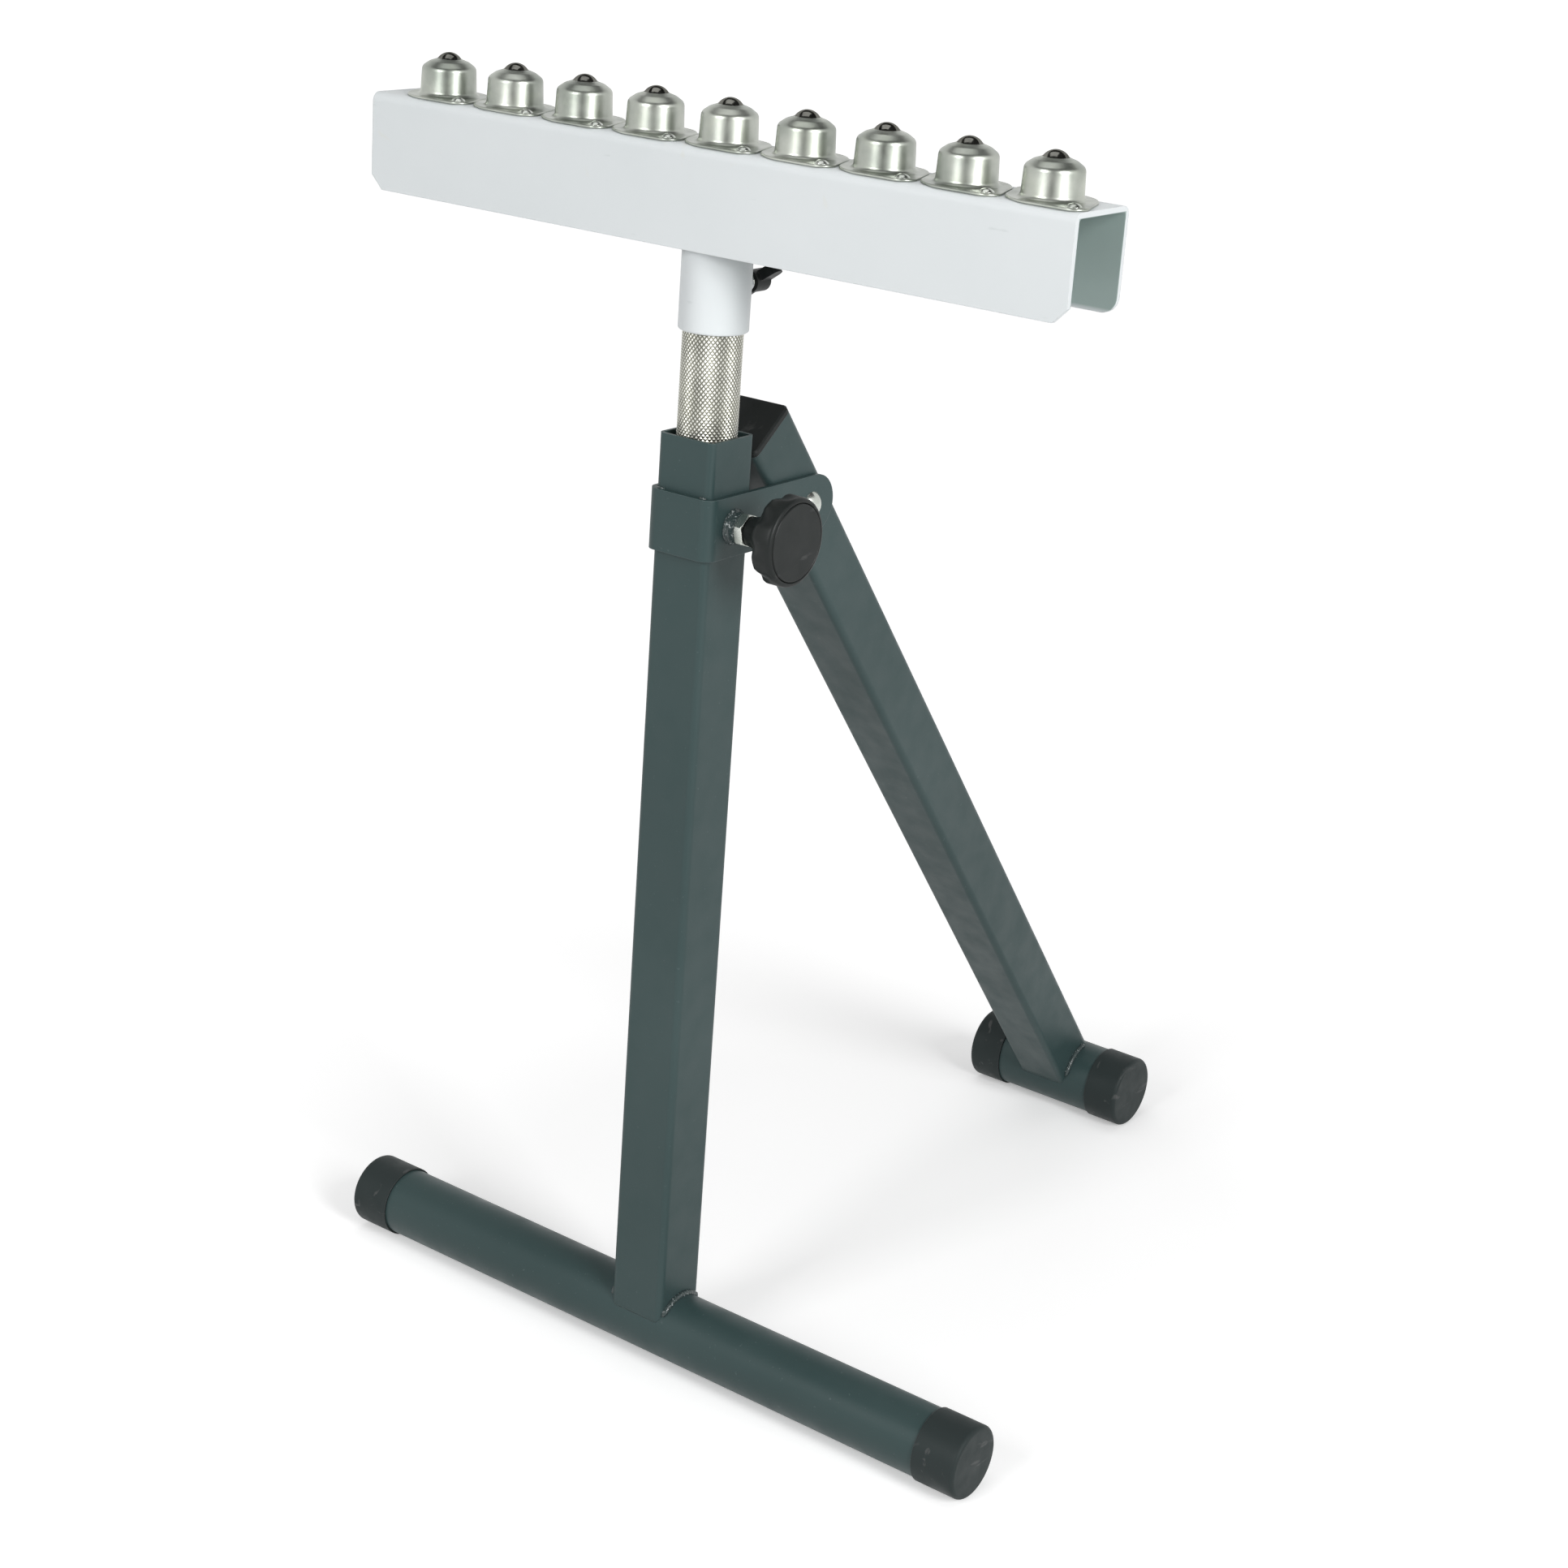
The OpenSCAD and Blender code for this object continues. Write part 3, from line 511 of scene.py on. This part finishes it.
def knurled_zinc():
    """Zinc on the knurl: bright peaks over valleys darkened as painted shade."""
    look = Look("knurled_zinc", (0.8, 0.8, 0.76), 1.0, 0.28)
    x, off, _ = look.split_place()
    flat = look.add("CombineXYZ")
    look.link(x, flat.inputs[0])
    look.link(off, flat.inputs[1])
    low, high = MAST_R - KNURL_DEPTH * 0.9, MAST_R - KNURL_DEPTH * 0.25
    peak = look.range(look.length(flat.outputs[0]), low, high, 0, 1)
    # Painted shade: the valleys between the knurl's peaks are coloured dark
    valley_shade = look.ramp(look.noise(60, 3), (0.3, (0.10, 0.10, 0.08)), (0.7, (0.19, 0.19, 0.15)))
    bright = look.ramp(look.noise(50, 3), (0.3, (0.62, 0.62, 0.57)), (0.7, (0.80, 0.80, 0.76)))
    look.colour(look.mix(peak, valley_shade, bright))
    look.roughness(look.range(look.noise(160, 2), 0.3, 0.7, 0.34, 0.46))
    return look.material


def plastic(name, base, scuffed, roughness):
    """Black moulded plastic with a fine grain and a few pale scuffs."""
    look = Look(name, base, 0.0, roughness)
    look.set(Specular_IOR_Level=0.18)
    grain = look.noise(900, 2)
    scuff = look.range(look.noise(120, 4, stretch=(1, 0.3, 1), distortion=0.8), 0.64, 0.74, 0.0, scuffed)
    edge_highlight, rounded = look.edges(0.6 * MM)
    # Painted highlight: the sharp edges are lightened
    look.colour(look.mix(edge_highlight, look.mix(scuff, base, (0.12, 0.12, 0.12)), (0.09, 0.09, 0.09)))
    look.roughness(look.range(look.noise(80, 3), 0.3, 0.7, roughness - 0.07, roughness + 0.1))
    look.normal(look.bump(grain, 0.04 * MM, 0.5, rounded))
    return look.material


def ball_steel():
    """Dark polished steel with a light haze."""
    look = Look("ball_steel", (0.55, 0.55, 0.54), 1.0, 0.12)
    look.colour(look.ramp(look.noise(180, 3), (0.3, (0.11, 0.11, 0.10)), (0.7, (0.22, 0.22, 0.20))))
    look.set(Specular_Tint=(0.6, 0.6, 0.58, 1))
    look.roughness(look.range(look.noise(260, 3), 0.3, 0.7, 0.08, 0.2))
    look.normal(look.bump(look.noise(1500, 1), 0.01 * MM, 0.3))
    return look.material


LOOKS = {
    "frame_paint": frame_paint(),
    "head_paint": head_paint(),
    "black_plastic": plastic("black_plastic", (0.012, 0.0145, 0.014), 0.3, 0.42),
    "zinc": zinc("zinc", (0.42, 0.45, 0.41), (0.66, 0.68, 0.64), 0.2, 0.34),
    "ball_steel": ball_steel(),
}
SHELL_LOOK = zinc("pressed_zinc", (0.29, 0.315, 0.28), (0.47, 0.49, 0.445), 0.30, 0.40)
WELD_LOOK = weld_paint()
CAP_LOOK = plastic("cap_plastic", (0.022, 0.030, 0.030), 0.55, 0.5)
SLOTS = {row["node"]: row["material_slot"] for row in frame["record"]["subparts"]}


def look_for(node):
    """The look of a CAD node: its own where it has one, or else its slot's."""
    if node.startswith("ball_shell"):
        return SHELL_LOOK
    if "_cap_" in node:
        return CAP_LOOK
    return LOOKS[SLOTS[node]]


def dress_cad_nodes():
    """Looks for the CAD nodes, those that stay visible and the others."""
    for name, node in NODES.items():
        node.data.materials.clear()
        node.data.materials.append(look_for(name))


def make_mast():
    """The mast's outside is a diamond knurl: a grid whose points stand high and low in turn."""
    steps = round((MAST_TOP - MAST_BOTTOM) / KNURL_ROW)
    rows = [MAST_BOTTOM + (MAST_TOP - MAST_BOTTOM) * j / steps for j in range(steps + 1)]
    part = lathe_grid(lambda j, i: MAST_R - KNURL_DEPTH * ((i + j) % 2), rows, KNURL_SIDES, MAST_BORE_R, True)
    part = moved(part, Matrix.Translation((0, AXIS_Y, 0)))
    object_from("mast_knurled", [part], knurled_zinc(), "mast", ["mast_tube"], smooth=False)


def flange_reach(angle):
    """How far the flange reaches at an angle from its unit's axis: a round plate with two rivet lobes."""
    tangent = math.acos((FLANGE_R - LOBE_R) / RIVET_REACH)
    turned = (angle + LOBE_TURN + math.pi / 2) % math.pi - math.pi / 2
    off = abs(turned)
    edge = math.atan2(LOBE_R * math.sin(tangent), RIVET_REACH + LOBE_R * math.cos(tangent))
    if off > tangent:
        return FLANGE_R
    if off > edge:
        return FLANGE_R / math.cos(tangent - off)
    beside = RIVET_REACH * math.sin(off)
    return RIVET_REACH * math.cos(off) + math.sqrt(max(0.0, LOBE_R ** 2 - beside ** 2))


def make_shells():
    """The pressed shells, each with a high rounded shoulder, a low crown and a flange with two lobes."""
    dome = rounded([(r * MM, z * MM, b * MM) for r, z, b in DOME])

    def section(angle):
        reach = flange_reach(angle)
        return [(reach - inset * MM, z * MM) for inset, z in FLANGE_EDGE] + dome

    part = ring_grid(section, SHELL_SIDES)
    for i in range(1, BALL_COUNT + 1):
        x = ROW_SHIFT + (i - (BALL_COUNT + 1) / 2) * BALL_PITCH
        place = Matrix.Translation((x, AXIS_Y, CHANNEL_TOP))
        object_from(f"pressed_shell_{i}", [moved(part, place)], SHELL_LOOK, "head", [f"ball_shell_{i}"])


def make_clamp():
    """The boss, lumpy where it is welded to the strap, and the lock nut on the clamp's stud."""
    at_strap = Matrix.Translation((STRAP_OUT, AXIS_Y, PIVOT_Z))
    upright = Matrix.Rotation(math.pi / 2, 4, "Y")
    rng = random.Random(3)
    rows = [BOSS_LEN * j / BOSS_ROWS for j in range(BOSS_ROWS + 1)]
    lumps = [[rng.uniform(-0.25, 0.3) * MM for _ in range(BOSS_SIDES)] for _ in rows]

    def boss(j, i):
        swell = WELD_RISE * max(0.0, 1 - rows[j] / WELD_REACH)
        return BOSS_R + swell + (lumps[j][i] if j < LUMPY_ROWS else 0.3 * lumps[j][i])

    part = moved(lathe_grid(boss, rows, BOSS_SIDES, STUD_BORE_R), at_strap @ upright)
    object_from("welded_boss", [part], WELD_LOOK, "base", ["clamp_boss"])
    turn = Matrix.Translation((NUT_OUT, 0, 0)) @ Matrix.Rotation(NUT_TURN, 4, "X")
    part = moved(nut_body(NUT_ACROSS, NUT_H, STUD_BORE_R), at_strap @ turn @ upright)
    object_from("lock_nut", [part], LOOKS["zinc"], "clamp_handle", ["clamp_lock_nut"], smooth=False)


def make_knob():
    """The clamp's knob: a slim hub, a flared back with finger hollows and a recess for the disc."""

    def section(angle):
        lobe = 2 * math.pi / KNOB_LOBES
        off = abs((angle / lobe + KNOB_START) % 1.0 - 0.5) * 360 / KNOB_LOBES
        hollow = HOLLOW_DEPTH * max(0.0, 1 - (off / HOLLOW_HALF) ** 2) ** 1.5
        return [((r - hollow * share) * MM, z * MM) for r, z, share in KNOB]

    place = Matrix.Translation((KNOB_X, AXIS_Y, PIVOT_Z)) @ Matrix.Rotation(math.pi / 2, 4, "Y")
    part = moved(ring_grid(section, KNOB_SIDES), place)
    object_from("finger_knob", [part], LOOKS["black_plastic"], "clamp_handle", ["clamp_knob"])


def make_studs():
    """The two threaded studs: M10 in the clamp and M8 in the wing screw."""
    along_x = Matrix.Translation((0, AXIS_Y, PIVOT_Z)) @ Matrix.Rotation(math.pi / 2, 4, "Y")
    along_y = Matrix.Translation((0, AXIS_Y, WING_Z)) @ Matrix.Rotation(-math.pi / 2, 4, "X")
    clamp = threaded_rod(5 * MM, 17.05 * MM, 53.3 * MM, 1.5 * MM, 0.8 * MM)
    wing = threaded_rod(4 * MM, 17.05 * MM, 35.3 * MM, 1.25 * MM, 0.65 * MM)
    object_from("clamp_thread", [moved(clamp, along_x)], LOOKS["zinc"], "clamp_screw", ["clamp_stud"])
    object_from("wing_thread", [moved(wing, along_y)], LOOKS["zinc"], "wing_screw", ["wing_stud"])


def make_welds():
    """The beads between tubes and feet, the tacks on the collar and the seams between socket and channel."""
    rng = random.Random(7)
    parts = []
    for side in (-1, 1):
        seam = side_seam(side, FRONT_FOOT_R, FRONT_SEAM_REACH)
        parts.append(bead([p + Vector((0, AXIS_Y, FRONT_CAP_R)) for p in seam], FOOT_BEAD_R, rng))
    for side in (-1, 1):
        ends = [side * (TUBE_HALF - 7 * MM + k * 0.7 * MM) for k in range(8)]
        top = [Vector((x, AXIS_Y - TUBE_HALF - 0.2 * MM, PIVOT_Z + STRAP_H / 2)) for x in ends]
        parts.append(bead(top, TACK_R, rng))
    object_from("frame_beads", parts, WELD_LOOK, "base", ["base_welds"])

    run, drop = REAR_REACH - PIVOT_Y, PIVOT_Z - REAR_CAP_R
    leg = Matrix.Translation((0, AXIS_Y + PIVOT_Y, PIVOT_Z)) @ Matrix.Rotation(math.atan2(run, drop), 4, "X")
    parts = []
    for side in (-1, 1):
        seam = side_seam(side, REAR_FOOT_R, REAR_SEAM_REACH)
        path = [leg @ (p - Vector((0, 0, math.hypot(run, drop)))) for p in seam]
        parts.append(bead(path, FOOT_BEAD_R, rng))
    object_from("leg_beads", parts, WELD_LOOK, "rear_leg", ["leg_welds"])

    parts = []
    for side in (-1, 1):
        gap_y = side * (SOCKET_R + WALL_INSIDE_Y) / 2
        xs = [k * 0.6 * MM - 9 * MM for k in range(31)]
        seam = [Vector((x, AXIS_Y + gap_y, CHANNEL_Z + 1.2 * MM)) for x in xs]
        parts.append(bead(seam, HEAD_BEAD_R, rng))
    object_from("head_beads", parts, LOOKS["head_paint"], "head", ["head_welds"])


def make_camera():
    """The camera, from a fit to the stand's own straight edges; right, up and back are its own axes."""
    right = Vector((0.80059, 0.59524, 0.06895))
    up = Vector((-0.25645, 0.23637, 0.93723))
    back = Vector((0.54157, -0.76801, 0.34188))
    data = bpy.data.cameras.new("camera")
    data.lens = 64.90
    data.sensor_width = 36
    data.shift_x = -0.0014
    data.shift_y = -0.0050
    data.clip_end = 50
    camera = bpy.data.objects.new("camera", data)
    place = Matrix((right, up, back)).transposed().to_4x4()
    place.translation = Vector((0.91766, -1.20273 - MIDDLE_Y, 0.92873))
    camera.matrix_world = place
    bpy.context.scene.collection.objects.link(camera)
    bpy.context.scene.camera = camera


def area_light(name, place, size, power):
    """A rectangular lamp that points at the stand."""
    data = bpy.data.lights.new(name, "AREA")
    data.shape = "RECTANGLE"
    data.size, data.size_y = size
    data.energy = power
    lamp = bpy.data.objects.new(name, data)
    lamp.location = place
    lamp.rotation_euler = (Vector(LIT_POINT) - Vector(place)).to_track_quat("-Z", "Y").to_euler()
    bpy.context.scene.collection.objects.link(lamp)


def make_light():
    """Three soft lamps and a world that is white to the eye and in reflections, and dimmer as a fill."""
    for lamp in LAMPS:
        area_light(*lamp)
    world = bpy.data.worlds.new("studio")
    world.use_nodes = True
    bpy.context.scene.world = world
    tree = world.node_tree
    tree.nodes.clear()
    out = tree.nodes.new("ShaderNodeOutputWorld")
    shade = tree.nodes.new("ShaderNodeBackground")
    shade.inputs["Color"].default_value = (1, 1, 1, 1)
    path = tree.nodes.new("ShaderNodeLightPath")
    seen = tree.nodes.new("ShaderNodeMath")
    seen.operation = "ADD"
    tree.links.new(path.outputs["Is Camera Ray"], seen.inputs[0])
    both = tree.nodes.new("ShaderNodeMath")
    both.operation = "ADD"
    tree.links.new(path.outputs["Is Transmission Ray"], both.inputs[0])
    tree.links.new(path.outputs["Is Glossy Ray"], both.inputs[1])
    tree.links.new(both.outputs[0], seen.inputs[1])
    level = tree.nodes.new("ShaderNodeMapRange")
    level.inputs["To Min"].default_value = WORLD_FILL
    level.inputs["To Max"].default_value = 1.0
    tree.links.new(seen.outputs[0], level.inputs["Value"])
    tree.links.new(level.outputs[0], shade.inputs["Strength"])
    tree.links.new(shade.outputs[0], out.inputs[0])


def make_floor():
    """A pale floor that shows to the camera as white and keeps the stand's shadow."""
    bpy.ops.mesh.primitive_plane_add(size=30, location=(0, 0, 0))
    floor = bpy.context.object
    floor.name = "floor"
    look = Look("floor", (0.86, 0.86, 0.86), 0.0, 0.9)
    look.set(Specular_IOR_Level=0.1)
    look.colour(look.ramp(look.noise(3, 2), (0.3, (0.85, 0.85, 0.85)), (0.7, (0.87, 0.87, 0.87))))
    look.set(Emission_Color=(1, 1, 1, 1))
    path = look.add("LightPath")
    seen = look.calc("MAXIMUM", path.outputs["Is Camera Ray"], path.outputs["Is Glossy Ray"])
    share = look.range(look.length(look.place), 0, GLOW_REACH, 0, 1)
    glow = look.ramp(share, *((at, (level, level, level)) for at, level in FLOOR_GLOW))
    look.link(look.calc("MULTIPLY", seen, glow), look.shader.inputs["Emission Strength"])
    floor.data.materials.append(look.material)


def reflected_card(name, place, target, size, shade):
    """A dull card that shows only in reflections, as the dark parts of a photo studio do."""
    bpy.ops.mesh.primitive_plane_add(size=1, location=place)
    card = bpy.context.object
    card.name = name
    card.scale = (*size, 1)
    card.rotation_euler = (Vector(target) - Vector(place)).to_track_quat("Z", "Y").to_euler()
    look = Look(name, (shade, shade, shade), 0.0, 1.0)
    look.set(Specular_IOR_Level=0.0)
    card.data.materials.append(look.material)
    card.visible_camera = False
    card.visible_diffuse = False
    card.visible_shadow = False
    card.visible_transmission = False


make_camera()
dress_cad_nodes()
make_mast()
make_shells()
make_clamp()
make_knob()
make_studs()
make_welds()
make_light()
make_floor()
for row in CARDS:
    reflected_card(*row)
bpy.context.scene.view_settings.view_transform = "Standard"
